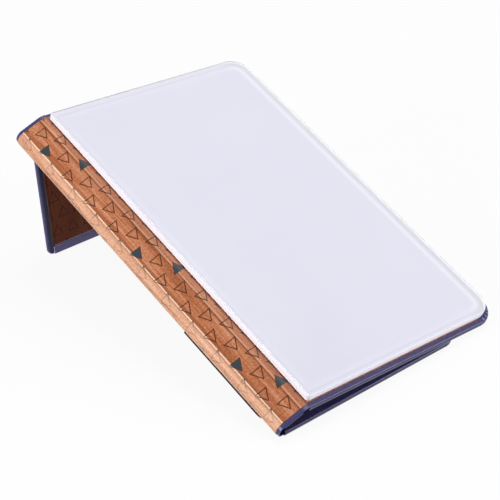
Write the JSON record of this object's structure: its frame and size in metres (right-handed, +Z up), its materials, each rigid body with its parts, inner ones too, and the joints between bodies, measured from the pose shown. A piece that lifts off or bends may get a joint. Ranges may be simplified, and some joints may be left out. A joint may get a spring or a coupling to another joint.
{
  "type": "portable dry-erase board",
  "caption": "White glass dry-erase board in a book-style case whose cover folds round behind it and props it up on a fold-out leg.",
  "frame": {"origin": "on the table under the middle of the bounding box, standing on the near edge of the cover and the foot of the leg", "axes": "+X across the cover from the spine to the free side, +Y along the table from the near end to the raised far end, +Z up"},
  "size_m": [0.1456, 0.2066, 0.0837],
  "materials": {
    "glass": "clear tempered glass with polished edges",
    "enamel": "white enamel on the back of the glass",
    "adhesive": "double-sided adhesive sheet",
    "leatherette": "navy leatherette, fine grain, satin",
    "lining": "copper wood-grain paper printed with outline triangles",
    "greyboard": "bookbinding board",
    "pocket_fabric": "black woven fabric"
  },
  "bodies": {
    "board": {"glass_pane": "glass", "glass_backing": "enamel", "mounting_tape": "adhesive", "board_core": "greyboard", "board_wrap": "leatherette", "board_liner": "lining", "front_joint_skin": "leatherette", "front_joint_liner": "lining"},
    "spine": {"spine_card": "greyboard", "spine_wrap": "leatherette", "spine_liner": "lining", "upper_curl_skin": "leatherette", "upper_curl_liner": "lining"},
    "curl_band": {"middle_curl_skin": "leatherette", "middle_curl_liner": "lining"},
    "cover": {"cover_core": "greyboard", "cover_wrap": "leatherette", "cover_liner": "lining", "pocket": "pocket_fabric", "lower_curl_skin": "leatherette", "lower_curl_liner": "lining", "leg_joint_skin": "leatherette", "leg_joint_liner": "lining"},
    "leg": {"leg_core": "greyboard", "leg_wrap": "leatherette", "leg_liner": "lining"}
  },
  "joints": [
    {"name": "front_fold", "type": "hinge", "parent": "board", "child": "spine", "pos_m": [-0.05921, -0.00475, 0.04706], "axis": [0, 0.9446, 0.3282], "range_deg": [0, 48], "deforming": ["front_joint_skin", "front_joint_liner"]},
    {"name": "upper_curl_bend", "type": "hinge", "parent": "spine", "child": "curl_band", "pos_m": [-0.07201, -0.00246, 0.04047], "axis": [0, 0.9446, 0.3282], "range_deg": [0, 114.5], "deforming": ["upper_curl_skin", "upper_curl_liner"]},
    {"name": "lower_curl_bend", "type": "hinge", "parent": "curl_band", "child": "cover", "pos_m": [-0.07051, -0.00044, 0.03465], "axis": [0, 0.9446, 0.3282], "range_deg": [0, 114.5], "deforming": ["lower_curl_skin", "lower_curl_liner"]},
    {"name": "leg_swing", "type": "hinge", "parent": "cover", "child": "leg", "pos_m": [-0.01228, 0.1003, 0.0685], "axis": [1, 0, 0], "range_deg": [-64, 115], "deforming": ["leg_joint_skin", "leg_joint_liner"]}
  ],
  "couplings": [
    {"joint": "upper_curl_bend", "follows": "front_fold", "ratio": 2.3834},
    {"joint": "lower_curl_bend", "follows": "front_fold", "ratio": 2.3834}
  ]
}
